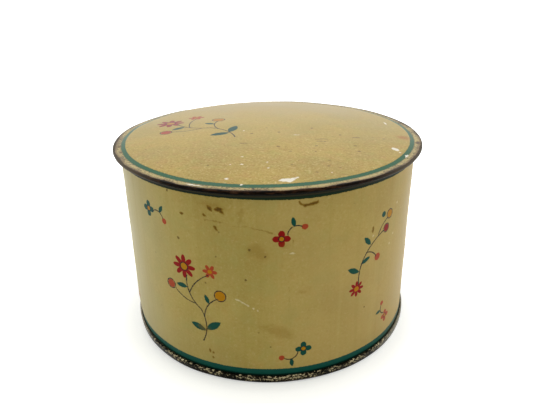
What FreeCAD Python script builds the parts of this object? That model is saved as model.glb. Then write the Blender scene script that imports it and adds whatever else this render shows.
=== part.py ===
# Round printed tin box with a lift-off plug lid, in millimetres.
# The origin is at the centre of the foot, and +Z is up.
# The box is four pieces of tinplate:
#   body_wall      sheet rolled round, locked down one side, curled in at the mouth, hooked out at the foot
#   base_end       pressed disc, double-seamed to the foot of the wall
#   lid_top        pressed disc with a shallow dome and a rim rolled into a bead
#   lid_plug_ring  hoop that slides into the mouth, its flange gripped in the lid's bead

import FreeCAD, Part
import math
import os

# The sheet that every piece is made of
TINPLATE = 0.30                 # thickness
FOLD_GAP = 0.05                 # air left between the layers of a fold

# The wall
BODY_DIAMETER = 120.6           # outside
BODY_HEIGHT = 77.4              # floor to the top of the mouth
MOUTH_CURL = 1.8                # outside diameter of the inward curl at the mouth
SIDE_SEAM_WIDTH = 5.0           # folded lock that closes the wall, measured round the wall
SIDE_SEAM_LAYERS = 3            # layers of sheet that the lock adds inside the wall
SIDE_SEAM_END = 3.0             # stretch of plain lap next to each end of the lock
SIDE_GROOVE_WIDTH = 0.4         # line that the seam leaves on the outside
SIDE_GROOVE_DEPTH = 0.15

# The double seam at the foot, and the base
SEAM_HEIGHT = 2.9               # floor to the top of the seam
FOOT_FLAT = 0.5                 # width of the flat ring that the box stands on
HOOK_CLEARANCE = 0.30           # from the tip of each hook to the fold that it points into
BASE_RECESS = 3.6               # floor to the underside of the base's margin
BASE_CORNER = 0.8               # bend from the base's margin to the wall of its rim
BASE_STEP_DIAMETER = 96.0       # middle of the stiffening step
BASE_STEP_RISE = 0.8
BASE_STEP_RUN = 1.4
BASE_STEP_BEND = 1.2

# The lid
LID_BEAD = 2.3                  # outside diameter of the rolled rim
LID_BEAD_CLEARANCE = 0.5        # from the bead to the wall, all round
LID_MARGIN = 3.2                # flat rim, from the lid's edge to the foot of the step
LID_STEP_RUN = 2.1              # slope between the flat rim and the dome
LID_STEP_RISE = 0.6
LID_STEP_BEND = 1.5
DOME_RISE = 2.6
DOME_MARGIN = 1.0               # straight stretch between the dome's arc and the step
LID_REST_GAP = 0.1              # under the lid's flange, where it sits on the mouth

# The plug ring
PLUG_CLEARANCE = 0.3            # to the mouth's curl, all round
PLUG_DEPTH = 11.0               # from the underside of its flange to its lower edge
PLUG_BEND = 0.6                 # bend from the flange to the ring
PLUG_LEAD = 2.2                 # height of the tapered lower edge
PLUG_TAPER = 0.35               # how far the lower edge draws in
PLUG_LEAD_BEND = 3.0
PLUG_LAP_WIDTH = 6.0            # lapped ends of the ring's strip
PLUG_LAP_END = 1.0              # from each end of the lap to the bend next to it

# Where the layers lie, worked out from the sizes above
half_sheet = TINPLATE / 2
pitch = TINPLATE + FOLD_GAP
wall_outside_r = BODY_DIAMETER / 2
wall_r = wall_outside_r - half_sheet
wall_inside_r = wall_r - half_sheet
chuck_r = wall_r - pitch
cover_hook_r = wall_r + pitch
body_hook_r = wall_r + 2 * pitch
seam_wall_r = wall_r + 3 * pitch
foot_z = half_sheet
foot_bend = (seam_wall_r - chuck_r - FOOT_FLAT) / 2
hook_fold_z = foot_z + pitch
seam_fold_z = SEAM_HEIGHT - half_sheet
base_margin_z = BASE_RECESS + half_sheet
curl_r = (MOUTH_CURL - TINPLATE) / 2
mouth_z = BODY_HEIGHT - half_sheet
mouth_inside_r = wall_outside_r - MOUTH_CURL
flange_z = BODY_HEIGHT + LID_REST_GAP + half_sheet
plug_r = mouth_inside_r - PLUG_CLEARANCE - half_sheet
plug_foot_z = flange_z - half_sheet - PLUG_DEPTH
rim_z = flange_z + pitch
bead_r = (LID_BEAD - TINPLATE) / 2
lid_edge_r = wall_outside_r + LID_BEAD_CLEARANCE + LID_BEAD - half_sheet

SHORTEST_RUN = 1e-6             # a straight stretch shorter than this is left out
FULL_TURN = 360.0
BACK = 90.0                     # direction of the seams, which lie towards +Y
AXIS_FOOT = FreeCAD.Vector(0, 0, 0)
AXIS = FreeCAD.Vector(0, 0, 1)


def point(r, z):
    """A point of a section, which lies in the XZ plane."""
    return FreeCAD.Vector(r, 0, z)


def left_of(heading):
    """The unit vector a quarter turn to the left of a heading in the section."""
    return FreeCAD.Vector(-heading.z, 0, heading.x)


def bend_at(before, corner, after, radius):
    """The arc that rounds a corner of the sheet's middle line: centre, start, end and side (1 turns left)."""
    heading_in = (corner - before).normalize()
    heading_out = (after - corner).normalize()
    cross = heading_in.x * heading_out.z - heading_in.z * heading_out.x
    turn = math.atan2(cross, heading_in.dot(heading_out))
    side = math.copysign(1, turn)
    setback = radius * math.tan(abs(turn) / 2)
    start = corner - heading_in * setback
    end = corner + heading_out * setback
    centre = start + left_of(heading_in) * (side * radius)
    return centre, start, end, side


def sheet_face(runs, bends, offset):
    """The edges of one face of the sheet, offset to the left of its middle line."""
    edges = []
    for i, (start, end) in enumerate(runs):
        if (end - start).Length > SHORTEST_RUN:
            shift = left_of((end - start).normalize()) * offset
            edges.append(Part.LineSegment(start + shift, end + shift).toShape())
        if i < len(bends):
            centre, arc_start, arc_end, side = bends[i]
            radius = (arc_start - centre).Length - side * offset
            spokes = [(arc_start - centre).normalize(), (arc_end - centre).normalize()]
            spokes.insert(1, (spokes[0] + spokes[1]).normalize())
            edges.append(Part.Arc(*[centre + spoke * radius for spoke in spokes]).toShape())
    return edges


def folded_sheet(corners):
    """The solid of a round sheet, from the corners (r, z, bend radius) of its middle line.

    The first and last corners are the sheet's cut edges and have no bend."""
    places = [point(r, z) for r, z, _ in corners]
    bends = [bend_at(places[i - 1], places[i], places[i + 1], corners[i][2])
             for i in range(1, len(places) - 1)]
    starts = [places[0]] + [end for _, _, end, _ in bends]
    ends = [start for _, start, _, _ in bends] + [places[-1]]
    runs = list(zip(starts, ends))
    left = sheet_face(runs, bends, half_sheet)
    right = sheet_face(runs, bends, -half_sheet)
    cut_edges = [Part.LineSegment(left[i].Vertexes[i].Point, right[i].Vertexes[i].Point).toShape()
                 for i in (0, -1)]
    outline = Part.Wire(Part.__sortEdges__(left + right + cut_edges))
    return Part.Face(outline).revolve(AXIS_FOOT, AXIS, FULL_TURN)


def upright_strip(inner_r, outer_r, low_z, high_z, width):
    """A strip of a round wall at the back of the box, as wide as given along its outer face."""
    sweep = math.degrees(width / outer_r)
    corners = [(inner_r, low_z), (outer_r, low_z), (outer_r, high_z), (inner_r, high_z)]
    outline = Part.makePolygon([point(r, z) for r, z in corners + corners[:1]])
    strip = Part.Face(outline).revolve(AXIS_FOOT, AXIS, sweep)
    strip.rotate(AXIS_FOOT, AXIS, BACK - sweep / 2)
    return strip


def make_body_wall():
    """The wall, from the tip of the hook in the seam to the tip of the curl at the mouth.

    Its ends are lapped from top to bottom, and locked below the stretch where the plug ring slides."""
    hook_tip_z = SEAM_HEIGHT - TINPLATE - HOOK_CLEARANCE
    sheet = folded_sheet([
        (body_hook_r, hook_tip_z, None),
        (body_hook_r, hook_fold_z, pitch),
        (wall_r, hook_fold_z, pitch),
        (wall_r, mouth_z, curl_r),
        (wall_r - 2 * curl_r, mouth_z, curl_r),
        (wall_r - 2 * curl_r, mouth_z - 2 * curl_r, curl_r),
        (wall_r - curl_r + half_sheet, mouth_z - 2 * curl_r, None),
    ])
    lap_low_z = base_margin_z + half_sheet + FOLD_GAP
    lap_high_z = BODY_HEIGHT - MOUTH_CURL - FOLD_GAP
    lap = upright_strip(wall_inside_r - TINPLATE, wall_r, lap_low_z, lap_high_z, SIDE_SEAM_WIDTH)
    lock = upright_strip(wall_inside_r - SIDE_SEAM_LAYERS * TINPLATE, wall_r,
                         lap_low_z + SIDE_SEAM_END, plug_foot_z - SIDE_SEAM_END, SIDE_SEAM_WIDTH)
    groove = upright_strip(wall_outside_r - SIDE_GROOVE_DEPTH, wall_outside_r + TINPLATE,
                           SEAM_HEIGHT + FOLD_GAP, lap_high_z, SIDE_GROOVE_WIDTH)
    return sheet.fuse([lap, lock]).cut(groove).removeSplitter()


def make_base_end():
    """The base, from its middle out to the tip of the hook that grips the wall."""
    step_r = BASE_STEP_DIAMETER / 2
    hook_tip_z = hook_fold_z + half_sheet + HOOK_CLEARANCE
    return folded_sheet([
        (0, base_margin_z + BASE_STEP_RISE, None),
        (step_r - BASE_STEP_RUN / 2, base_margin_z + BASE_STEP_RISE, BASE_STEP_BEND),
        (step_r + BASE_STEP_RUN / 2, base_margin_z, BASE_STEP_BEND),
        (chuck_r, base_margin_z, BASE_CORNER),
        (chuck_r, foot_z, foot_bend),
        (seam_wall_r, foot_z, foot_bend),
        (seam_wall_r, seam_fold_z, pitch),
        (cover_hook_r, seam_fold_z, pitch),
        (cover_hook_r, hook_tip_z, None),
    ])


def make_lid_top():
    """The lid's disc, from the top of its dome out to the tip of the bead that grips the plug ring."""
    step_foot_r = lid_edge_r + half_sheet - LID_MARGIN
    step_head_r = step_foot_r - LID_STEP_RUN
    step_head_z = rim_z + LID_STEP_RISE
    dome_top_z = step_head_z + DOME_RISE
    dome_corner_r = (step_head_r - DOME_MARGIN) / 2
    dome_slope = math.atan2(DOME_RISE, step_head_r - dome_corner_r)
    dome_bend = dome_corner_r / math.tan(dome_slope / 2)
    bead_inner_r = lid_edge_r - 2 * bead_r
    bead_foot_z = rim_z - 2 * bead_r
    bead_tip_z = flange_z - half_sheet - FOLD_GAP
    return folded_sheet([
        (0, dome_top_z, None),
        (dome_corner_r, dome_top_z, dome_bend),
        (step_head_r, step_head_z, LID_STEP_BEND),
        (step_foot_r, rim_z, LID_STEP_BEND),
        (lid_edge_r, rim_z, bead_r),
        (lid_edge_r, bead_foot_z, bead_r),
        (bead_inner_r, bead_foot_z, bead_r),
        (bead_inner_r, bead_tip_z, None),
    ])


def make_lid_plug_ring():
    """The hoop that slides into the mouth, with the flange that the lid's bead grips."""
    lead_z = plug_foot_z + PLUG_LEAD
    ring = folded_sheet([
        (lid_edge_r - bead_r, flange_z, None),
        (plug_r, flange_z, PLUG_BEND),
        (plug_r, lead_z, PLUG_LEAD_BEND),
        (plug_r - PLUG_TAPER, plug_foot_z, None),
    ])
    lap = upright_strip(plug_r - half_sheet - TINPLATE, plug_r, lead_z + PLUG_LAP_END,
                        flange_z - PLUG_BEND - PLUG_LAP_END, PLUG_LAP_WIDTH)
    return ring.fuse(lap).removeSplitter()


PIECES = {
    "body_wall": make_body_wall,
    "base_end": make_base_end,
    "lid_top": make_lid_top,
    "lid_plug_ring": make_lid_plug_ring,
}

os.makedirs("parts", exist_ok=True)
for name, make in PIECES.items():
    piece = make()
    piece.exportStep(f"parts/{name}.step")
    box = piece.optimalBoundingBox()
    print(f"{name}: valid {piece.isValid()}, solids {len(piece.Solids)}, volume {piece.Volume:.1f} mm3, "
          f"x {box.XMin:.2f} to {box.XMax:.2f}, z {box.ZMin:.2f} to {box.ZMax:.2f}")
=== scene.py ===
import math
from functools import reduce

import bmesh
import bpy
from mathutils import Euler, Matrix, Vector


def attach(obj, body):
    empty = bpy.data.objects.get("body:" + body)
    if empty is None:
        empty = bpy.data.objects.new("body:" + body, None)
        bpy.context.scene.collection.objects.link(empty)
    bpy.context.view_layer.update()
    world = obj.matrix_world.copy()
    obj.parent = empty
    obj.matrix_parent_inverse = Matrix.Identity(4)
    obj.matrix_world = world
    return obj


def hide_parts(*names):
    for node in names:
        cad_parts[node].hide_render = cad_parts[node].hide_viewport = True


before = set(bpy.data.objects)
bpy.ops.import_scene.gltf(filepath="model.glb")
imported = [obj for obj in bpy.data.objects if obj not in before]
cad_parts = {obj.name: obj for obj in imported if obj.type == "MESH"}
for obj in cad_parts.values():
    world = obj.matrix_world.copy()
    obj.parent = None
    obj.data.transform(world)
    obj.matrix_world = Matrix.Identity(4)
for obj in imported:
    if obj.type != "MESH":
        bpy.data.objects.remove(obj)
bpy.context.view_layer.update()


# The wall of the box
# One strip of printed tinplate, rolled round and locked along a flat seam at the back.
# Its top edge is curled inwards for a smooth mouth, and its foot is hooked into the base's seam.

MM = 0.001                            # one millimetre, in metres
tin = 0.30                            # thickness of the sheet
wall_face = 60.3                      # radius of the wall's outer face
back_slit = 0.4                       # gap between the ends of a rolled strip
longest_run = 3.2                     # longest stretch of a section that is left undivided
steps_round = 240                     # steps in which a section is spun round the axis
smooth_below = math.radians(35)       # folds sharper than this keep an edge


def pick(piece, test):
    """Selects, in edit mode, only the vertices of a piece whose place passes a test."""
    mesh = bmesh.from_edit_mesh(piece.data)
    for vertex in mesh.verts:
        vertex.select_set(test(vertex.co))
    mesh.select_flush_mode()
    bmesh.update_edit_mesh(piece.data)


def longest_edge(piece):
    """Length of the longest edge of a piece in edit mode, with the edges over about half of it selected."""
    mesh = bmesh.from_edit_mesh(piece.data)
    longest = max(edge.calc_length() for edge in mesh.edges)
    for edge in mesh.edges:
        edge.select_set(edge.calc_length() > 0.51 * longest)
    bmesh.update_edit_mesh(piece.data)
    return longest


def round_sheet(name, corners, slit=0.0):
    """A round piece of sheet metal, still without thickness. Its section is drawn at the back by the corners
    of its middle line (radius, height and bend radius in mm), its bends are rounded, its long runs are
    divided, and it is spun round the axis. The ends of a strip stand a slit apart."""
    bpy.ops.object.select_all(action="DESELECT")
    bpy.ops.mesh.primitive_plane_add(size=MM)
    piece = bpy.context.active_object
    piece.name = name
    piece.data.name = name
    bpy.ops.object.mode_set(mode="EDIT")
    bpy.ops.mesh.select_mode(type="VERT")
    bpy.ops.mesh.select_all(action="SELECT")
    bpy.ops.mesh.merge(type="CENTER")
    places = [Vector((0.0, radius, height)) * MM for radius, height, bend in corners]
    bends = [bend for radius, height, bend in corners]
    bpy.ops.transform.translate(value=places[0])
    for here, there in zip(places, places[1:]):
        bpy.ops.mesh.extrude_region_move(TRANSFORM_OT_translate={"value": there - here})
    for before, place, after, bend in zip(places, places[1:], places[2:], bends[1:]):
        turn = (place - before).angle(after - place)
        pick(piece, lambda spot: (spot - place).length < 0.001 * MM)
        bpy.ops.mesh.bevel(
            offset=bend * math.tan(turn / 2) * MM,
            segments=max(8, math.ceil(bend / 30)),
            affect="VERTICES",
        )
    while longest_edge(piece) > longest_run * MM:
        bpy.ops.mesh.subdivide(number_cuts=1)
    bpy.ops.mesh.select_all(action="SELECT")
    angle = 2 * math.pi - slit / wall_face
    bpy.ops.mesh.spin(steps=steps_round, angle=angle, center=(0, 0, 0), axis=(0, 0, 1))
    bpy.ops.mesh.select_all(action="SELECT")
    bpy.ops.mesh.remove_doubles(threshold=0.002 * MM)
    bpy.ops.mesh.normals_make_consistent(inside=False)
    bpy.ops.object.mode_set(mode="OBJECT")
    return piece


def knock_foot(piece):
    """Pushes the foot of the box in a little at the left, where its seam once took a knock. The dent fades
    out up the wall, in under the base and to both sides."""
    deepest = 1.05
    top = 12
    inner, outer = 45, 60
    start, end = -130, -30
    for vertex in piece.data.vertices:
        radius = math.hypot(vertex.co.x, vertex.co.y) / MM
        near_foot = 1 - vertex.co.z / (top * MM)
        near_seam = (radius - inner) / (outer - inner)
        turn = math.degrees(math.atan2(vertex.co.x, -vertex.co.y))
        if near_seam > 0 and near_foot > 0 and start < turn < end:
            along = (turn - start) / (end - start)
            depth = deepest * near_seam * near_foot ** 1.5 * math.sin(math.pi * along) ** 2
            vertex.co.xy *= 1 - depth / radius


# Handling has left thin sheet a little out of true. One field moves every layer alike, so folds stay closed.
buckles = bpy.data.textures.new("buckles", "CLOUDS")
buckles.cloud_type = "COLOR"
buckles.noise_scale = 28 * MM
buckles.noise_depth = 1


def sheet_metal(piece, outside, inside):
    """Buckles a sheet a little and gives it its thickness, with one finish outside and one inside."""
    piece.data.materials.append(outside)
    piece.data.materials.append(inside)
    buckle = piece.modifiers.new("buckle", "DISPLACE")
    buckle.texture = buckles
    buckle.texture_coords = "LOCAL"
    buckle.direction = "RGB_TO_XYZ"
    buckle.strength = 0.5 * MM
    thickness = piece.modifiers.new("thickness", "SOLIDIFY")
    thickness.thickness = tin * MM
    thickness.offset = 0.0
    thickness.use_even_offset = True
    thickness.material_offset = 1
    thickness.material_offset_rim = 1
    bpy.context.view_layer.objects.active = piece
    bpy.ops.object.modifier_apply(modifier="buckle")
    bpy.ops.object.modifier_apply(modifier="thickness")
    bpy.ops.object.shade_smooth_by_angle(angle=smooth_below)


def seam_fold(width, depth, face, low, high, outside):
    """A flat fold of sheet at the back of a round piece, with soft edges. Its outer face lies at a radius
    and has a finish of its own, because it shows in the slit."""
    bpy.ops.object.select_all(action="DESELECT")
    bpy.ops.mesh.primitive_cube_add(
        size=MM,
        location=(0.0, (face - depth / 2) * MM, (low + high) / 2 * MM),
        scale=(width, depth, high - low),
    )
    fold = bpy.context.active_object
    bpy.ops.object.transform_apply(location=True, rotation=True, scale=True)
    bpy.ops.object.mode_set(mode="EDIT")
    bpy.ops.mesh.select_all(action="SELECT")
    bpy.ops.mesh.bevel(offset=0.3 * depth * MM, segments=3, affect="EDGES")
    bpy.ops.object.mode_set(mode="OBJECT")
    fold.data.materials.append(outside)
    fold.data.materials.append(bare_tinplate)
    for side in fold.data.polygons:
        side.material_index = 0 if side.normal.y > 0.9 else 1
    bpy.ops.object.shade_smooth_by_angle(angle=smooth_below)
    return fold


def joined(sheet, folds):
    """One piece from a sheet and the folds that lock it at the back."""
    bpy.ops.object.select_all(action="DESELECT")
    for part in (sheet, *folds):
        part.select_set(True)
    bpy.context.view_layer.objects.active = sheet
    bpy.ops.object.join()


def colour(code):
    """An sRGB hex colour as linear red, green, blue and alpha."""
    parts = [int(code[at:at + 2], 16) / 255 for at in (1, 3, 5)]
    linear = [part / 12.92 if part <= 0.04045 else ((part + 0.055) / 1.055) ** 2.4 for part in parts]
    return (*linear, 1.0)


def node(tree, kind, inputs, out=0, **settings):
    """Adds a node with its settings. Its inputs, by name or in order, are values or other nodes' outputs."""
    made = tree.nodes.new("ShaderNode" + kind)
    for name, value in settings.items():
        setattr(made, name, value)
    for name, value in inputs.items() if isinstance(inputs, dict) else enumerate(inputs):
        if isinstance(value, bpy.types.NodeSocket):
            tree.links.new(value, made.inputs[name])
        elif value is not None:
            made.inputs[name].default_value = value
    return made.outputs[out]


def finish(name):
    """A new material, its node tree and its shader."""
    material = bpy.data.materials.new(name)
    material.use_nodes = True
    return material, material.node_tree, material.node_tree.nodes["Principled BSDF"]


def millimetres(tree):
    """Place on the piece in millimetres: the whole vector, and x, y and z."""
    metres = node(tree, "TexCoord", {}, out="Object")
    place = node(tree, "VectorMath", [metres, (1000.0, 1000.0, 1000.0)], operation="MULTIPLY")
    x, y, z = node(tree, "SeparateXYZ", [place]).node.outputs
    return place, x, y, z


def laid(tree, ground, tint, where, bare, full, strength=1.0):
    """A tint laid over a ground: none of it where a pattern is at one level, full strength at another."""
    ground, tint = (colour(one) if isinstance(one, str) else one for one in (ground, tint))
    cover = node(
        tree,
        "MapRange",
        {"Value": where, "From Min": bare, "From Max": full, "To Max": strength},
        interpolation_type="SMOOTHSTEP",
    )
    return node(tree, "Mix", {0: cover, 6: ground, 7: tint}, out=2, data_type="RGBA")


def around(tree, x, y, radius):
    """Distance round the box from its front, to the right, measured on a radius."""
    forward = node(tree, "Math", [y, -1.0], operation="MULTIPLY")
    angle = node(tree, "Math", [x, forward], operation="ARCTAN2")
    return node(tree, "Math", [angle, radius], operation="MULTIPLY")


def union(tree, shapes):
    """The greatest of several values. A shape is a depth in mm, above 0 inside its outline, so this joins
    shapes of one ink."""
    return reduce(lambda one, two: node(tree, "Math", [one, two], operation="MAXIMUM"), shapes)


def stripe(tree, across, middle, width):
    """A stripe of some width along one level of a measure."""
    off = node(tree, "Math", [across, middle], operation="SUBTRACT")
    off = node(tree, "Math", [off], operation="ABSOLUTE")
    return node(tree, "Math", [width / 2, off], operation="SUBTRACT")


def dot(tree, sheet, at, radius):
    """A round dot."""
    far = node(tree, "VectorMath", [sheet, (*at, 0.0)], out="Value", operation="DISTANCE")
    return node(tree, "Math", [radius, far], operation="SUBTRACT")


def ring(tree, sheet, at, radius, width):
    """A round outline."""
    far = node(tree, "VectorMath", [sheet, (*at, 0.0)], out="Value", operation="DISTANCE")
    return stripe(tree, far, radius, width)


def leaf(tree, sheet, at, length, width, angle):
    """A pointed leaf from its stalk, where two circles overlap."""
    radius = (length ** 2 / 4 + width ** 2 / 4) / width
    along = Vector((math.cos(math.radians(angle)), math.sin(math.radians(angle))))
    across = Vector((-along.y, along.x)) * (radius - width / 2)
    middle = Vector(at) + along * length / 2
    one = dot(tree, sheet, middle + across, radius)
    two = dot(tree, sheet, middle - across, radius)
    return node(tree, "Math", [one, two], operation="MINIMUM")


def stalk(tree, sheet, start, end, bow, width):
    """Part of a round outline, as a thin line from one point to another, bowed to its left by some mm."""
    start, end = Vector(start), Vector(end)
    chord = end - start
    left = Vector((-chord.y, chord.x)).normalized()
    radius = (chord.length ** 2 / 4 + bow ** 2) / (2 * abs(bow))
    middle = (start + end) / 2
    centre = middle + left * (bow - math.copysign(radius, bow))
    line = ring(tree, sheet, centre, radius, width)
    reach = dot(tree, sheet, middle + left * bow / 2, math.hypot(chord.length / 2, bow / 2))
    return node(tree, "Math", [line, reach], operation="MINIMUM")


def daisy(tree, sheet, at, radius, petals):
    """A flower of narrow round-ended petals."""
    arm = node(tree, "VectorMath", [sheet, (*at, 0.0)], operation="SUBTRACT")
    x, y = node(tree, "SeparateXYZ", [arm]).node.outputs[:2]
    turn = node(tree, "Math", [y, x], operation="ARCTAN2")
    turn = node(tree, "Math", [turn, petals / 2], operation="MULTIPLY")
    lobe = node(tree, "Math", [node(tree, "Math", [turn], operation="COSINE")], operation="ABSOLUTE")
    edge = node(tree, "Math", [lobe, 0.55 * radius, 0.45 * radius], operation="MULTIPLY_ADD")
    far = node(tree, "VectorMath", [arm], out="Value", operation="LENGTH")
    return node(tree, "Math", [edge, far], operation="SUBTRACT")


# The print is a loose scatter of small garden sprigs in five flat inks, drawn with a fine dark line.
inks = {"line": "#0F0D18", "teal": "#004234", "red": "#880600", "pink": "#A44221", "amber": "#B27900"}


def placing(at, angle, size):
    """What puts a point of a small drawing, so far across and up from its foot, on the sheet."""
    turn = Matrix.Rotation(math.radians(angle), 2)
    return lambda across, up: Vector(at) + turn @ Vector((across, up)) * size


def sprig(tree, sheet, at, angle, size, drawn):
    """Adds a tall sprig to the shapes drawn in each ink: a curved stalk, paired leaves, daisies, berries."""
    put = placing(at, angle, size)
    drawn["line"] += [
        stalk(tree, sheet, put(0, 0), put(2.5, 12), -1.6 * size, 0.45),
        stalk(tree, sheet, put(2.5, 12), put(0.5, 24), 1.8 * size, 0.45),
        stalk(tree, sheet, put(3.0, 8.8), put(9.6, 15.6), 1.4 * size, 0.4),
        stalk(tree, sheet, put(1.2, 13.9), put(-6, 19.5), 1.0 * size, 0.4),
        stalk(tree, sheet, put(-0.3, 17.7), put(8.5, 24), 1.0 * size, 0.4),
        ring(tree, sheet, put(0.3, 27), 1.4 * size, 0.35),
        ring(tree, sheet, put(10.6, 16.6), 1.9 * size, 0.35),
        ring(tree, sheet, put(-7.2, 20.4), 1.7 * size, 0.35),
    ]
    drawn["teal"] += [
        leaf(tree, sheet, put(2.4, 4.4), 6.4 * size, 2.5 * size, angle + 24),
        leaf(tree, sheet, put(2.2, 4.0), 5.8 * size, 2.3 * size, angle + 150),
        leaf(tree, sheet, put(-0.4, 19.8), 4.4 * size, 1.8 * size, angle + 168),
        leaf(tree, sheet, put(6.0, 13.8), 3.6 * size, 1.5 * size, angle + 100),
    ]
    drawn["red"].append(daisy(tree, sheet, put(0.3, 27), 4.2 * size, 8))
    drawn["pink"] += [
        daisy(tree, sheet, put(9.4, 25.2), 2.5 * size, 6),
        dot(tree, sheet, put(-7.2, 20.4), 1.5 * size),
    ]
    drawn["amber"] += [
        dot(tree, sheet, put(0.3, 27), 1.3 * size),
        dot(tree, sheet, put(10.6, 16.6), 1.7 * size),
        dot(tree, sheet, put(9.4, 25.2), 0.7 * size),
    ]


def berry_spray(tree, sheet, at, angle, size, drawn):
    """Adds an arching spray: one bowed stalk, leaves to left and right of it, and berries at its end."""
    put = placing(at, angle, size)
    drawn["line"] += [
        stalk(tree, sheet, put(0, 0), put(9, 19), 4.0 * size, 0.45),
        stalk(tree, sheet, put(5.8, 17.0), put(10.5, 23.5), 1.0 * size, 0.4),
        stalk(tree, sheet, put(1.0, 12), put(6.6, 9.6), 0.9 * size, 0.4),
        ring(tree, sheet, put(10.2, 19.6), 1.6 * size, 0.35),
        ring(tree, sheet, put(11.2, 24.6), 1.7 * size, 0.35),
    ]
    drawn["teal"] += [
        leaf(tree, sheet, put(-0.9, 5.0), 5.4 * size, 2.1 * size, angle + 162),
        leaf(tree, sheet, put(-0.6, 8.0), 4.6 * size, 1.8 * size, angle + 28),
        leaf(tree, sheet, put(2.6, 14.8), 4.8 * size, 1.9 * size, angle + 140),
        dot(tree, sheet, put(7.4, 25.0), 1.1 * size),
    ]
    drawn["red"] += [
        dot(tree, sheet, put(10.2, 19.6), 1.4 * size),
        daisy(tree, sheet, put(-0.6, -1.6), 3.2 * size, 8),
    ]
    drawn["amber"] += [
        dot(tree, sheet, put(11.2, 24.6), 1.5 * size),
        dot(tree, sheet, put(-0.6, -1.6), 1.0 * size),
    ]
    drawn["pink"].append(dot(tree, sheet, put(7.6, 9.2), 1.5 * size))


def posy(tree, sheet, at, angle, ink, size, drawn):
    """Adds a small stray blossom of four petals, with one leaf and a berry on a short stalk."""
    put = placing(at, angle, size)
    drawn["line"] += [
        stalk(tree, sheet, put(2.4, 0.4), put(8.0, 1.0), 1.6 * size, 0.4),
        ring(tree, sheet, at, 0.95 * size, 0.3),
    ]
    drawn[ink].append(daisy(tree, sheet, at, 3.1 * size, 4))
    drawn["amber"].append(dot(tree, sheet, at, 0.9 * size))
    drawn["teal"].append(leaf(tree, sheet, put(5.6, 2.0), 3.8 * size, 1.6 * size, angle + 75))
    drawn["pink"].append(dot(tree, sheet, put(8.8, 0.4), 1.1 * size))


def ink_edge(tree, place):
    """How far an ink has crept past its outline or drawn back from it, in mm, in specks of about 0.7 mm."""
    specks = node(tree, "TexNoise", {"Vector": place, "Scale": 1 / 0.7, "Detail": 2.0})
    return node(tree, "Math", [specks, 0.5, -0.25], operation="MULTIPLY_ADD")


def inked(tree, ground, drawn, grain):
    """Lays the drawn inks over the ground, with edges a little rough."""
    for ink in ("teal", "red", "pink", "amber", "line"):
        depth = node(tree, "Math", [union(tree, drawn[ink]), grain], operation="ADD")
        ground = laid(tree, ground, inks[ink], depth, -0.14, 0.14)
    return ground


def aged_enamel(tree, place, deep, pale, handling):
    """The cream ground of the print: its colour, its height for a bump and its roughness. Years of light
    have yellowed it unevenly, and hands have left fine wear, dirt in its pores and tiny chips, more where
    they held it. The fine wear is drawn coarser than it is, at 0.9 mm, so that it shows."""
    broad = node(tree, "TexNoise", {"Vector": place, "Scale": 1 / 24, "Detail": 4.0, "Roughness": 0.55})
    tone = laid(tree, deep, pale, broad, 0.34, 0.66)
    mottle = node(tree, "TexNoise", {"Vector": place, "Scale": 1 / 5, "Detail": 3.0, "Roughness": 0.6})
    tone = laid(tree, tone, "#B58E48", mottle, 0.50, 0.70, 0.5 * handling)
    tone = laid(tree, tone, "#A89C46", mottle, 0.48, 0.30, 0.5 * handling)
    fine = node(tree, "TexNoise", {"Vector": place, "Scale": 1 / 0.9, "Detail": 4.0, "Roughness": 0.7})
    tone = laid(tree, tone, "#866408", fine, 0.50, 0.68, 0.50 * handling)
    tone = laid(tree, tone, "#DCCA92", fine, 0.46, 0.30, 0.54 * handling)
    for apart in (4.2, 1.8):
        pores = node(tree, "TexVoronoi", {"Vector": place, "Scale": 1 / apart}).node.outputs
        lots = node(tree, "SeparateColor", [pores["Color"]]).node.outputs
        dirt = {"Value": lots[0], "From Min": 0.45, "To Min": -0.06, "To Max": 0.05 + 0.09 * handling}
        dirt = node(tree, "Math", [node(tree, "MapRange", dirt), pores["Distance"]], operation="SUBTRACT")
        tone = laid(tree, tone, "#5E4404", dirt, -0.03, 0.03, 0.6)
        chips = {"Value": lots[1], "From Min": 0.78, "To Min": -0.06, "To Max": 0.06 * handling}
        chips = node(tree, "Math", [node(tree, "MapRange", chips), pores["Distance"]], operation="SUBTRACT")
        tone = laid(tree, tone, "#E6DBB8", chips, -0.03, 0.03, 0.8)
    gloss = node(tree, "Math", [broad, 0.20, 0.25], operation="MULTIPLY_ADD")
    return tone, fine, gloss


def roughened(tree, sheet, place, reach, size):
    """The flat of a print with its places shifted by up to some mm, in lumps of some mm, so that marks drawn
    on it get ragged outlines."""
    jitter = {"Vector": place, "Scale": 1 / size, "Detail": 4.0, "Roughness": 0.6}
    jitter = node(tree, "TexNoise", jitter, out="Color")
    jitter = node(tree, "VectorMath", [jitter, (0.5, 0.5, 0.5)], operation="SUBTRACT")
    jitter = node(tree, "VectorMath", [jitter, (2 * reach, 2 * reach, 0.0)], operation="MULTIPLY")
    return node(tree, "VectorMath", [sheet, jitter], operation="ADD")


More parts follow.
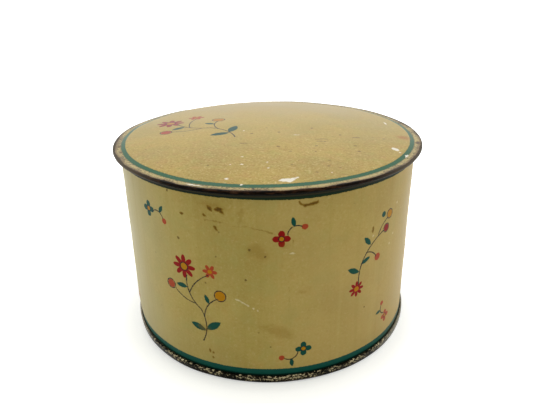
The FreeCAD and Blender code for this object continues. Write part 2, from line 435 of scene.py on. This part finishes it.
# Tinplate that was never printed: grey, dulled and clouded by the years, with pin-points of rust.
bare_tinplate, tree, shader = finish("tarnished_tinplate")
place = millimetres(tree)[0]
cloud = node(tree, "TexNoise", {"Vector": place, "Scale": 1 / 18, "Detail": 5.0, "Roughness": 0.6})
tone = laid(tree, "#A79F8D", "#827969", cloud, 0.35, 0.68)
pitting = node(tree, "TexNoise", {"Vector": place, "Scale": 1 / 1.6, "Detail": 4.0, "Roughness": 0.7})
tone = laid(tree, tone, "#5A3B22", pitting, 0.62, 0.74, 0.8)
shine = {"Value": pitting, "From Min": 0.62, "From Max": 0.74, "To Min": 0.65, "To Max": 0.2}
shine = node(tree, "MapRange", shine)
tree.links.new(tone, shader.inputs["Base Color"])
tree.links.new(shine, shader.inputs["Metallic"])
tree.links.new(node(tree, "Math", [cloud, 0.3, 0.22], operation="MULTIPLY_ADD"), shader.inputs["Roughness"])
relief = node(tree, "Bump", {"Strength": 0.25, "Distance": 0.05 * MM, "Height": pitting})
tree.links.new(relief, shader.inputs["Normal"])

# Print under old varnish that has lost most of its gloss: cream gone uneven, two teal lines, small sprigs,
# and a lifetime of scuffs and stains. The design comes three times round the box.
printed_wall, tree, shader = finish("lithographed_enamel_wall")
place, x, y, z = millimetres(tree)
along = around(tree, x, y, wall_face)
repeat = 2 * math.pi * wall_face / 3
column = node(tree, "Math", [along, repeat / 2, -repeat / 2], operation="WRAP")
sheet = node(tree, "CombineXYZ", [column, z, 0.0])
grain = ink_edge(tree, place)
drawn = {ink: [] for ink in inks}
sprig(tree, sheet, (-26.0, 15.0), 12, 1.15, drawn)
berry_spray(tree, sheet, (34.0, 36.0), -8, 1.05, drawn)
posy(tree, sheet, (4.0, 60.0), 24, "red", 1.0, drawn)
posy(tree, sheet, (12.0, 14.0), 200, "teal", 1.0, drawn)
posy(tree, sheet, (-48.0, 64.0), -20, "teal", 1.0, drawn)
posy(tree, sheet, (52.0, 14.0), 110, "pink", 0.9, drawn)

# The cream has gone olive in patches, warmer to the right and paler to the left, with faint upright runs,
# and a painted sheen lightens it further towards the left edge.
ground, height, gloss = aged_enamel(tree, place, "#A8934B", "#B6A057", handling=0.4)
olive = node(tree, "TexNoise", {"Vector": place, "Scale": 1 / 9, "Detail": 3.0, "Roughness": 0.6})
ground = laid(tree, ground, "#A39B54", olive, 0.50, 0.72, 0.4)
drift = node(tree, "TexNoise", {"Vector": place, "Scale": 1 / 42, "Detail": 2.0})
drift = node(tree, "Math", [drift, 90.0, x], operation="MULTIPLY_ADD")
ground = laid(tree, ground, "#BC9D64", drift, 20.0, 110.0, 0.5)
ground = laid(tree, ground, "#B6AA72", drift, 40.0, -20.0, 0.5)
# Painted sheen: paler towards the left edge.
ground = laid(tree, ground, "#CBC6AD", x, -30.0, -62.0, 0.25)
whole = node(tree, "CombineXYZ", [along, z, 0.0])
run = node(tree, "VectorMath", [whole, (1 / 4, 1 / 120, 1.0)], operation="MULTIPLY")
run = node(tree, "TexNoise", {"Vector": run, "Scale": 1.0, "Detail": 3.0, "Roughness": 0.6})
ground = laid(tree, ground, "#9E8940", run, 0.52, 0.75, 0.28)
ground = laid(tree, ground, "#C6B470", run, 0.46, 0.25, 0.22)
paint = inked(tree, ground, drawn, grain)

# The press laid the upper line a little out of level. The lower line is painted nearly black as shade in the
# corner over the seam, and paler towards both sides as a painted sheen. The upper one is painted dark as
# shade under the lid's overhang, with two black lines of painted shade under the hem round one thin rubbed
# streak.
low_line = stripe(tree, z, 4.1, 3.2)
level = z
for start, end, low, high in ((-20.0, 14.0, -0.22, 0.28), (14.0, 30.0, 0.0, -0.28)):
    wander = {"Value": x, "From Min": start, "From Max": end, "To Min": low, "To Max": high}
    wander = node(tree, "MapRange", wander, interpolation_type="SMOOTHSTEP")
    level = node(tree, "Math", [level, wander], operation="ADD")
high_line = stripe(tree, level, 75.45, 2.4)
lines = node(tree, "Math", [union(tree, [low_line, high_line]), grain], operation="ADD")
# Painted shade: the lower line goes nearly black at its foot, in the corner over the seam.
teal = laid(tree, "#00483C", "#0A0F08", z, 3.7, 3.2, 0.7)
aside = node(tree, "Math", [node(tree, "Math", [x, 3.0], operation="ADD")], operation="ABSOLUTE")
# Painted sheen: the lower line is paler towards both sides.
teal = laid(tree, teal, "#777661", aside, 44.0, 62.0, 0.4)
# Painted shade: the upper line is dark under the lid's overhang, with two black lines under the hem; the
# paler streak between them is rubbed tin.
teal = laid(tree, teal, "#001E02", z, 60.0, 74.0)
teal = laid(tree, teal, "#010502", z, 74.75, 75.0)
teal = laid(tree, teal, "#2A2812", z, 75.0, 75.2)
teal = laid(tree, teal, "#020301", z, 75.5, 75.7)
paint = laid(tree, paint, teal, lines, -0.14, 0.14)

# Amber stains soaked into the varnish, scuffs that rust has browned, and fresh pale scratches.
ragged = roughened(tree, whole, place, 1.5, 3.0)
fibrous = roughened(tree, whole, place, 0.7, 1.3)
stains = union(
    tree,
    [
        leaf(tree, ragged, (-7.4, 57.6), 8.5, 5.6, -35),
        leaf(tree, ragged, (-8.4, 71.0), 7.5, 2.6, -110),
        leaf(tree, ragged, (-25.0, 72.0), 11.0, 3.6, -8),
        leaf(tree, ragged, (-3.5, 25.0), 13.0, 5.6, -22),
        leaf(tree, ragged, (-28.0, 20.6), 5.4, 3.6, 5),
        leaf(tree, ragged, (3.4, 57.8), 4.0, 1.2, -8),
        leaf(tree, ragged, (9.6, 38.8), 3.4, 1.0, -4),
    ],
)
patchy = node(tree, "TexNoise", {"Vector": place, "Scale": 1 / 3.0, "Detail": 4.0, "Roughness": 0.65})
patchy = {"Value": patchy, "From Min": 0.35, "From Max": 0.65, "To Min": -1.4, "To Max": 0.4}
patchy = node(tree, "MapRange", patchy)
stains = node(tree, "Math", [stains, patchy], operation="ADD")
paint = laid(tree, paint, "#86640C", stains, -1.4, 1.2, 0.32)
runs = union(
    tree,
    [
        stalk(tree, fibrous, (-22.0, 65.7), (-14.0, 65.2), 0.2, 0.5),
        stalk(tree, fibrous, (-14.4, 64.5), (-8.6, 64.6), -0.2, 0.4),
        stalk(tree, fibrous, (-9.4, 64.8), (1.0, 62.2), 0.3, 0.5),
        stalk(tree, fibrous, (6.6, 41.0), (6.7, 35.0), 0.1, 0.3),
        stalk(tree, fibrous, (7.8, 59.5), (7.7, 56.2), 0.1, 0.3),
    ],
)
runs = node(tree, "Math", [patchy, 0.3, runs], operation="MULTIPLY_ADD")
paint = laid(tree, paint, "#7A5A0C", runs, -0.3, 0.25, 0.6)
scuffs = union(
    tree,
    [
        leaf(tree, fibrous, (-20.9, 71.2), 2.6, 1.3, -50),
        leaf(tree, fibrous, (-18.6, 69.9), 3.6, 1.6, 8),
        leaf(tree, fibrous, (-17.0, 70.6), 2.8, 1.2, -46),
        leaf(tree, fibrous, (-31.9, 66.6), 1.8, 1.1, 0),
        leaf(tree, fibrous, (-22.8, 67.7), 1.7, 0.9, -20),
        leaf(tree, fibrous, (-18.9, 64.2), 2.6, 1.0, -58),
        stalk(tree, fibrous, (9.6, 73.2), (11.6, 71.6), -0.2, 0.6),
        stalk(tree, fibrous, (11.2, 71.7), (16.4, 72.6), -0.4, 1.1),
        leaf(tree, fibrous, (39.7, 58.2), 3.0, 0.9, -97),
        leaf(tree, fibrous, (-23.6, 12.2), 2.0, 0.8, -80),
        dot(tree, fibrous, (-22.0, 10.6), 0.5),
        dot(tree, fibrous, (-22.2, 8.2), 0.45),
    ],
)
paint = laid(tree, paint, "#7A5800", scuffs, -0.25, 0.2, 0.9)
paint = laid(tree, paint, "#301A00", scuffs, 0.15, 0.5, 0.6)
nicks = union(
    tree,
    [
        dot(tree, fibrous, (-33.3, 56.6), 0.5),
        dot(tree, fibrous, (-8.4, 44.1), 0.4),
        dot(tree, fibrous, (-18.8, 52.1), 0.35),
        dot(tree, fibrous, (-23.4, 40.7), 0.35),
        dot(tree, fibrous, (0.0, 15.8), 0.35),
        dot(tree, fibrous, (37.7, 24.6), 0.35),
        dot(tree, fibrous, (-36.5, 73.9), 0.5),
        dot(tree, fibrous, (-6.8, 55.9), 0.4),
        dot(tree, fibrous, (-1.4, 53.4), 0.45),
    ],
)
paint = laid(tree, paint, "#4E3508", nicks, -0.2, 0.2, 0.75)
scratches = union(
    tree,
    [
        stalk(tree, fibrous, (-12.3, 35.9), (-7.6, 33.4), 0.2, 0.4),
        dot(tree, fibrous, (-5.9, 32.6), 0.3),
        dot(tree, fibrous, (-4.4, 31.6), 0.3),
        leaf(tree, fibrous, (6.7, 54.3), 1.9, 0.7, 0),
        dot(tree, fibrous, (54.3, 62.6), 0.45),
        dot(tree, fibrous, (52.9, 50.6), 0.4),
        dot(tree, fibrous, (50.8, 47.2), 0.35),
        dot(tree, fibrous, (39.7, 54.1), 0.35),
    ],
)
paint = laid(tree, paint, "#DDD2A6", scratches, -0.2, 0.2, 0.7)

# Wear of the same kind is scattered over the sides and the back.
away = {"Value": y, "From Min": -35.0, "From Max": -5.0, "To Min": -0.3, "To Max": 0.0}
away = node(tree, "MapRange", away)
blots = node(tree, "TexNoise", {"Vector": place, "Scale": 1 / 17, "Detail": 5.0, "Roughness": 0.65})
blots = node(tree, "Math", [blots, away], operation="ADD")
paint = laid(tree, paint, "#86640C", blots, 0.56, 0.74, 0.45)
knocks = node(tree, "TexNoise", {"Vector": place, "Scale": 1 / 4.5, "Detail": 3.0, "Roughness": 0.6})
dents = node(tree, "Math", [knocks, away], operation="ADD")
paint = laid(tree, paint, "#5E4000", dents, 0.725, 0.765, 0.85)
flaked = node(tree, "Math", [knocks, -1.0, away], operation="MULTIPLY_ADD")
paint = laid(tree, paint, "#DDD2A6", flaked, -0.265, -0.235, 0.7)
tree.links.new(paint, shader.inputs["Base Color"])
tree.links.new(node(tree, "Math", [gloss, 0.08], operation="ADD"), shader.inputs["Roughness"])
shader.inputs["Specular IOR Level"].default_value = 0.08
relief = node(tree, "Bump", {"Strength": 0.5, "Distance": 0.03 * MM, "Height": height})
tree.links.new(relief, shader.inputs["Normal"])

wall = round_sheet(
    "body_wall_sheet",
    [
        (60.85, 2.3, 0.0),
        (60.85, 0.5, 0.33),
        (60.15, 0.5, 0.33),
        (60.15, 77.25, 0.72),
        (58.65, 77.25, 0.72),
        (58.65, 75.75, 0.72),
        (59.55, 75.75, 0.0),
    ],
    slit=back_slit,
)
knock_foot(wall)
sheet_metal(wall, printed_wall, bare_tinplate)
wall_back = wall_face - tin
lap = seam_fold(width=5.0, depth=0.45, face=wall_back + 0.15, low=3.95, high=75.55, outside=printed_wall)
lock = seam_fold(width=5.0, depth=0.95, face=wall_back + 0.05, low=6.95, high=63.5, outside=printed_wall)
joined(wall, [lap, lock])
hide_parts("body_wall")
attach(wall, "box")


# The base
# A round pressed end of plain tinplate, set up inside the foot of the wall.
# Its edge is folded round the wall's hook and pressed flat into a double seam, the rim the box stands on.

# The seam has rubbed along shelves for years: nearly black with tarnish and grime, and flecked with bare tin
# except at its foot and in the corner over it, which stay black as painted shade. A painted sheen makes it
# greyer at the sides. Underneath it is dull tin, rusted where damp creeps in.
worn_base, tree, shader = finish("worn_tinplate_seam")
place, x, y, z = millimetres(tree)
radius = node(tree, "VectorMath", [node(tree, "CombineXYZ", [x, y, 0.0])], out="Value", operation="LENGTH")
seam_face = 61.3
fleck_height = 0.65
upward = node(tree, "Math", [z, fleck_height], operation="DIVIDE")
streaks = node(tree, "CombineXYZ", [around(tree, x, y, seam_face), upward, radius])
flake = node(tree, "TexNoise", {"Vector": streaks, "Scale": 1.0, "Detail": 5.0, "Roughness": 0.65})
crowd = node(tree, "TexNoise", {"Vector": place, "Scale": 1 / 14, "Detail": 2.0})
seam = laid(tree, "#0B0A06", "#1C150C", crowd, 0.40, 0.62)
bright = node(tree, "Math", [crowd, 0.25, flake], operation="MULTIPLY_ADD")
# Painted shade: no bare flecks at the seam's foot or in the corner over it, so these stay black.
for across, in_shade, out_of_shade in ((radius, 60.4, 60.6), (z, 0.2, 1.4)):
    painted_shade = {"Value": across, "From Min": in_shade, "From Max": out_of_shade, "To Min": -0.2, "To Max": 0.0}
    bright = node(tree, "Math", [bright, node(tree, "MapRange", painted_shade)], operation="ADD")
seam = laid(tree, seam, "#AA9E7C", bright, 0.63, 0.76)
# Painted sheen: the seam is greyer towards both sides.
aside = node(tree, "Math", [node(tree, "Math", [x, 3.0], operation="ADD")], operation="ABSOLUTE")
seam = laid(tree, seam, "#8C8672", aside, 42.0, 60.0, 0.55)
cloud = node(tree, "TexNoise", {"Vector": place, "Scale": 1 / 18, "Detail": 5.0, "Roughness": 0.6})
under = laid(tree, "#A39C8C", "#7F776A", cloud, 0.35, 0.68, 0.6)
pitting = node(tree, "TexNoise", {"Vector": place, "Scale": 1 / 1.6, "Detail": 4.0, "Roughness": 0.7})
damp = node(tree, "MapRange", {"Value": radius, "From Min": 44.0, "From Max": 60.0, "To Max": 0.12})
under = laid(tree, under, "#5A3B22", node(tree, "Math", [pitting, damp], operation="ADD"), 0.62, 0.74, 0.8)
tone = laid(tree, under, seam, radius, 60.2, 60.7)
tree.links.new(tone, shader.inputs["Base Color"])
shader.inputs["Metallic"].default_value = 1.0
tree.links.new(node(tree, "Math", [cloud, 0.3, 0.25], operation="MULTIPLY_ADD"), shader.inputs["Roughness"])
relief = node(tree, "Bump", {"Strength": 0.6, "Distance": 0.08 * MM, "Height": flake})
tree.links.new(relief, shader.inputs["Normal"])

base = round_sheet(
    "base_end_sheet",
    [
        (0.0, 4.55, 0.0),
        (47.3, 4.55, 1.2),
        (48.7, 3.75, 1.2),
        (59.8, 3.75, 0.8),
        (59.8, 0.15, 0.45),
        (61.2, 0.15, 0.45),
        (61.2, 2.75, 0.33),
        (60.5, 2.75, 0.33),
        (60.5, 0.95, 0.0),
    ],
)
knock_foot(base)
sheet_metal(base, worn_base, bare_tinplate)
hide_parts("base_end")
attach(base, "box")


# The plug ring of the lid
# A plain strip of tinplate rolled to slide inside the mouth, lapped at the back.
# Its top edge is flanged outwards and gripped in the hem of the lid's top.

def press_rim(piece):
    """Bends the overhanging edge of the lid down a little at the back left, where it has sagged and once
    took a knock."""
    overhang_from, overhang = 60.4, 2.7
    for vertex in piece.data.vertices:
        reach = (math.hypot(vertex.co.x, vertex.co.y) / MM - overhang_from) / overhang
        turn = math.degrees(math.atan2(-vertex.co.x, vertex.co.y))
        for start, end, depth in ((-40, 95, 0.7), (14, 44, 1.2)):
            if reach > 0 and start < turn < end:
                along = (turn - start) / (end - start)
                vertex.co.z -= depth * MM * reach ** 1.5 * math.sin(math.pi * along) ** 2


plug = round_sheet(
    "lid_plug_ring_sheet",
    [(57.7, 66.5, 0.0), (58.05, 68.7, 3.0), (58.05, 77.65, 0.6), (61.95, 77.65, 0.0)],
    slit=back_slit,
)
press_rim(plug)
sheet_metal(plug, bare_tinplate, bare_tinplate)
lap = seam_fold(width=6.0, depth=0.35, face=57.9, low=66.7, high=76.05, outside=bare_tinplate)
joined(plug, [lap])
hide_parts("lid_plug_ring")
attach(plug, "lid")


# The top of the lid
# One printed disc of tinplate, pressed to a low dome with a step round it.
# Its edge is folded under into a hem that grips the plug ring, and most of the print has worn off the hem.

# The same print and varnish as the wall with more gloss left, rubbed towards the front, chipped in places
# and gone from the hem. A painted sheen makes it paler towards the back. A dark line of dirt and painted
# shade runs along the foot of the step.
printed_lid, tree, shader = finish("lithographed_enamel_lid")
place, x, y, z = millimetres(tree)
sheet = node(tree, "CombineXYZ", [x, y, 0.0])
radius = node(tree, "VectorMath", [sheet], out="Value", operation="LENGTH")
grain = ink_edge(tree, place)
kept = aged_enamel(tree, place, "#AD974C", "#BBA257", handling=0.6)[0]
rubbed, height, gloss = aged_enamel(tree, place, "#A88F3F", "#B59A48", handling=1.05)
ground = laid(tree, kept, rubbed, y, 10.0, -38.0)
# Painted sheen: paler towards the back.
ground = laid(tree, ground, "#BCA981", y, 0.0, 58.0, 0.6)
patch = node(tree, "TexNoise", {"Vector": place, "Scale": 1 / 9, "Detail": 2.0})
edge = node(tree, "Math", [grain, 1.6, radius], operation="MULTIPLY_ADD")
edge = node(tree, "Math", [patch, 2.0, edge], operation="MULTIPLY_ADD")
fleck = node(tree, "TexNoise", {"Vector": place, "Scale": 1 / 0.9, "Detail": 3.0, "Roughness": 0.7})
fleck = node(tree, "Math", [patch, 0.4, fleck], operation="MULTIPLY_ADD")
band = laid(tree, "#B7A468", "#463612", fleck, 0.66, 0.84)
band = laid(tree, band, "#6E5430", edge, 62.0, 62.8, 0.75)
paint = laid(tree, ground, band, radius, 59.8, 60.0)
drawn = {ink: [] for ink in inks}
sprig(tree, sheet, (-13.0, -12.0), 50, 1.45, drawn)
paint = inked(tree, paint, drawn, grain)
teal_ring = node(tree, "Math", [stripe(tree, radius, 59.02, 1.7), grain], operation="ADD")
teal = laid(tree, "#10522F", "#5E8A6E", height, 0.55, 0.75, 0.5)
paint = laid(tree, paint, teal, teal_ring, -0.14, 0.14)
# Dirt and painted shade: a dark line in the crease at the foot of the step.
groove = node(tree, "Math", [radius, 60.0], operation="SUBTRACT")
groove = node(tree, "Math", [groove], operation="ABSOLUTE")
groove = node(tree, "Math", [grain, 0.8, groove], operation="MULTIPLY_ADD")
paint = laid(tree, paint, "#4A3E20", groove, 0.25, 0.0, 0.5)

# One rust stain, dark nicks and scratches, and white chips where the paint has flaked.
ragged = roughened(tree, sheet, place, 0.8, 1.2)
paint = laid(tree, paint, "#A05400", dot(tree, ragged, (54.7, -10.7), 2.4), -1.6, 2.0, 0.6)
nicks = union(
    tree,
    [
        leaf(tree, ragged, (-10.6, -20.3), 3.4, 0.8, 2),
        dot(tree, ragged, (33.8, -28.9), 0.6),
        dot(tree, ragged, (4.7, -7.0), 0.5),
        dot(tree, ragged, (18.6, -1.4), 0.6),
        dot(tree, ragged, (29.1, -10.0), 0.5),
        dot(tree, ragged, (3.9, -24.7), 0.5),
        dot(tree, ragged, (18.4, -23.9), 0.5),
        dot(tree, ragged, (33.3, -22.9), 0.5),
        dot(tree, ragged, (17.6, -30.4), 0.4),
        dot(tree, ragged, (8.3, -30.0), 0.4),
        dot(tree, ragged, (-6.2, -8.3), 0.6),
        dot(tree, ragged, (21.4, -38.8), 0.4),
        dot(tree, ragged, (16.4, -49.3), 0.4),
        stalk(tree, ragged, (18.9, -15.9), (23.6, -15.7), 0.2, 0.5),
        stalk(tree, ragged, (19.1, -18.4), (22.5, -18.6), 0.2, 0.5),
        stalk(tree, ragged, (33.4, -13.4), (36.6, -13.2), 0.2, 0.6),
        leaf(tree, sheet, (58.7, -17.6), 4.6, 2.2, 75),
        leaf(tree, ragged, (-58.6, -15.6), 3.4, 1.6, 100),
        leaf(tree, ragged, (-55.9, -22.6), 3.0, 1.4, 115),
        dot(tree, ragged, (-53.1, -29.5), 0.7),
    ],
)
paint = laid(tree, paint, "#5E4200", nicks, -0.3, 0.3, 0.8)
paint = laid(tree, paint, "#301C00", nicks, 0.45, 0.9, 0.8)
chips = union(
    tree,
    [
        leaf(tree, ragged, (3.2, -55.5), 5.6, 2.6, 2),
        leaf(tree, ragged, (6.4, -55.2), 4.2, 0.9, 28),
        dot(tree, ragged, (6.6, -56.2), 0.8),
        dot(tree, ragged, (-13.8, -53.2), 0.65),
        leaf(tree, ragged, (47.2, -23.6), 4.0, 2.2, -66),
        leaf(tree, ragged, (50.2, -32.6), 3.4, 1.0, 62),
        dot(tree, ragged, (-9.8, -4.0), 0.4),
        dot(tree, ragged, (49.2, -28.8), 0.4),
        leaf(tree, ragged, (51.9, 8.6), 4.4, 0.7, 92),
        dot(tree, ragged, (-8.8, -57.9), 0.4),
        dot(tree, ragged, (-9.2, -34.5), 0.3),
        dot(tree, ragged, (-9.1, -41.8), 0.35),
        dot(tree, ragged, (-13.3, -41.7), 0.3),
        dot(tree, ragged, (-0.3, -40.3), 0.35),
        dot(tree, ragged, (0.0, -45.4), 0.35),
        dot(tree, ragged, (21.3, -49.5), 0.3),
        leaf(tree, ragged, (9.8, -11.0), 3.6, 0.4, 4),
        leaf(tree, ragged, (-27.5, -54.4), 7.0, 0.7, -23),
    ],
)
paint = laid(tree, paint, "#F0EAD8", chips, -0.2, 0.2, 0.92)

# The bare hem: tin gone nearly black, with brown streaks of rust. A painted sheen makes it greyer away from
# the front, and its rolled lower edge is painted near-black as shade.
hem_face = 62.0
streak_length = 3.0
streak_height = 0.8
upward = node(tree, "Math", [z, streak_height], operation="DIVIDE")
streaks = node(tree, "CombineXYZ", [around(tree, x, y, hem_face / streak_length), upward, radius])
flake = node(tree, "TexNoise", {"Vector": streaks, "Scale": 1.0, "Detail": 4.0, "Roughness": 0.6})
hem = laid(tree, "#0B0806", "#2C1B10", flake, 0.45, 0.62)
hem = laid(tree, hem, "#6E6250", flake, 0.68, 0.76)
# Painted shade: the hem's rolled lower edge goes near-black; its underside further in is grey-brown.
under = laid(tree, "#4A4336", "#030303", radius, 62.3, 62.8)
hem = laid(tree, hem, under, z, 77.5, 77.25)
# Painted sheen: the hem is greyer away from the front.
hem = laid(tree, hem, "#51483A", y, -55.0, -36.0, 0.85)
over_edge = {"Value": edge, "From Min": 62.9, "From Max": 63.3}
worn = node(tree, "MapRange", over_edge, interpolation_type="SMOOTHSTEP")
rolled_under = {"Value": z, "From Min": 77.4, "From Max": 77.2}
worn = union(tree, [worn, node(tree, "MapRange", rolled_under, interpolation_type="SMOOTHSTEP")])
paint = node(tree, "Mix", {0: worn, 6: paint, 7: hem}, out=2, data_type="RGBA")
gloss = node(tree, "Math", [worn, 0.25, gloss], operation="MULTIPLY_ADD")
tree.links.new(paint, shader.inputs["Base Color"])
tree.links.new(worn, shader.inputs["Metallic"])
tree.links.new(gloss, shader.inputs["Roughness"])
shader.inputs["Specular IOR Level"].default_value = 0.27
relief = node(tree, "Bump", {"Strength": 0.5, "Distance": 0.03 * MM, "Height": height})
tree.links.new(relief, shader.inputs["Normal"])

# The dome is one wide arc. Its slope at the edge and its level top meet half way in.
dome_rise = 2.6
dome_run = 29.4
slope = math.atan2(dome_rise, dome_run)
lid = round_sheet(
    "lid_top_sheet",
    [
        (60.4, 76.95, 0.0),
        (62.95, 76.95, 0.5),
        (62.95, 78.0, 0.5),
        (59.9, 78.0, 1.5),
        (57.8, 78.6, 1.5),
        (28.4, 81.2, 28.3 / math.tan(slope / 2)),
        (0.0, 81.2, 0.0),
    ],
)
press_rim(lid)
sheet_metal(lid, printed_lid, bare_tinplate)
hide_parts("lid_top")
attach(lid, "lid")


# The stage: a pale floor that runs out to white, soft light from above and both sides, and the camera
# The floor keeps the box's shadow. White comes from what the camera sees, not from more light on the box.

def seen(tree):
    """1 for what the camera sees, straight, mirrored or through glass, and 0 for what only carries light."""
    rays = node(tree, "LightPath", {}).node.outputs
    return union(tree, [rays["Is Camera Ray"], rays["Is Glossy Ray"], rays["Is Transmission Ray"]])


bpy.ops.object.select_all(action="DESELECT")
bpy.ops.mesh.primitive_plane_add(size=12.0)
floor = bpy.context.active_object
floor.name = "floor"

# Matt white paper with a glow that the camera and reflections see: the glow is weaker close round the foot,
# a painted shadow deepest in front and a little to the left, and burns the paper out to white beyond.
paper, tree, shader = finish("white_paper_floor")
shader.inputs["Base Color"].default_value = colour("#E6E8E2")
shader.inputs["Roughness"].default_value = 0.9
shader.inputs["Specular IOR Level"].default_value = 0.0
shader.inputs["Emission Color"].default_value = (1.0, 1.0, 1.0, 1.0)
spot = node(tree, "TexCoord", {}, out="Object")
# Painted shadow: less glow near the foot, centred a little to the front left.
far = node(tree, "VectorMath", [spot, (-0.0015, -0.009, 0.0)], out="Value", operation="DISTANCE")
shade = {"Value": far, "From Min": 0.053, "From Max": 0.058, "To Min": 0.30, "To Max": 0.46}
white = {"Value": far, "From Min": 0.057, "From Max": 0.088, "To Max": 0.54}
white = node(tree, "MapRange", white, interpolation_type="SMOOTHSTEP")
white = node(tree, "Math", [node(tree, "MapRange", shade), white], operation="ADD")
white = node(tree, "Math", [seen(tree), white], operation="MULTIPLY")
tree.links.new(white, shader.inputs["Emission Strength"])
floor.data.materials.append(paper)

world = bpy.data.worlds.new("soft_room")
bpy.context.scene.world = world
world.use_nodes = True
tree = world.node_tree
room_light = 0.38
room = node(tree, "Math", [seen(tree), 1 - room_light, room_light], operation="MULTIPLY_ADD")
tree.nodes["Background"].inputs["Color"].default_value = (1.0, 1.0, 1.0, 1.0)
tree.links.new(room, tree.nodes["Background"].inputs["Strength"])

for name, place, size, power in (
    ("overhead_softbox", (0.0, 0.25, 1.2), 1.3, 9.0),
    ("left_softbox", (-1.1, -0.35, 0.55), 0.8, 3.0),
    ("right_softbox", (1.1, -0.35, 0.55), 0.8, 3.5),
):
    lamp = bpy.data.lights.new(name, "AREA")
    lamp.shape = "SQUARE"
    lamp.size = size
    lamp.energy = power
    softbox = bpy.data.objects.new(name, lamp)
    softbox.location = place
    to_box = Vector((0.0, 0.0, 0.05)) - Vector(place)
    softbox.rotation_euler = to_box.to_track_quat("-Z", "Y").to_euler()
    bpy.context.collection.objects.link(softbox)

# The camera stands where the photograph was taken, a little above the lid, and looks down at the front.
picture_width = 533
focal_length = 528.0 / picture_width
tilt_down = 0.4131
roll = -0.0161
lens = bpy.data.cameras.new("camera")
lens.sensor_fit = "HORIZONTAL"
lens.sensor_width = 36.0
lens.lens = focal_length * lens.sensor_width
lens.clip_start = 0.01
camera = bpy.data.objects.new("camera", lens)
camera.location = (-0.0008, -0.2151, 0.1414)
aim = Euler((math.pi / 2 - tilt_down, 0.0, 0.0)).to_matrix() @ Matrix.Rotation(roll, 3, "Z")
camera.rotation_euler = aim.to_euler()
bpy.context.collection.objects.link(camera)
bpy.context.scene.camera = camera
bpy.context.scene.view_settings.view_transform = "Standard"
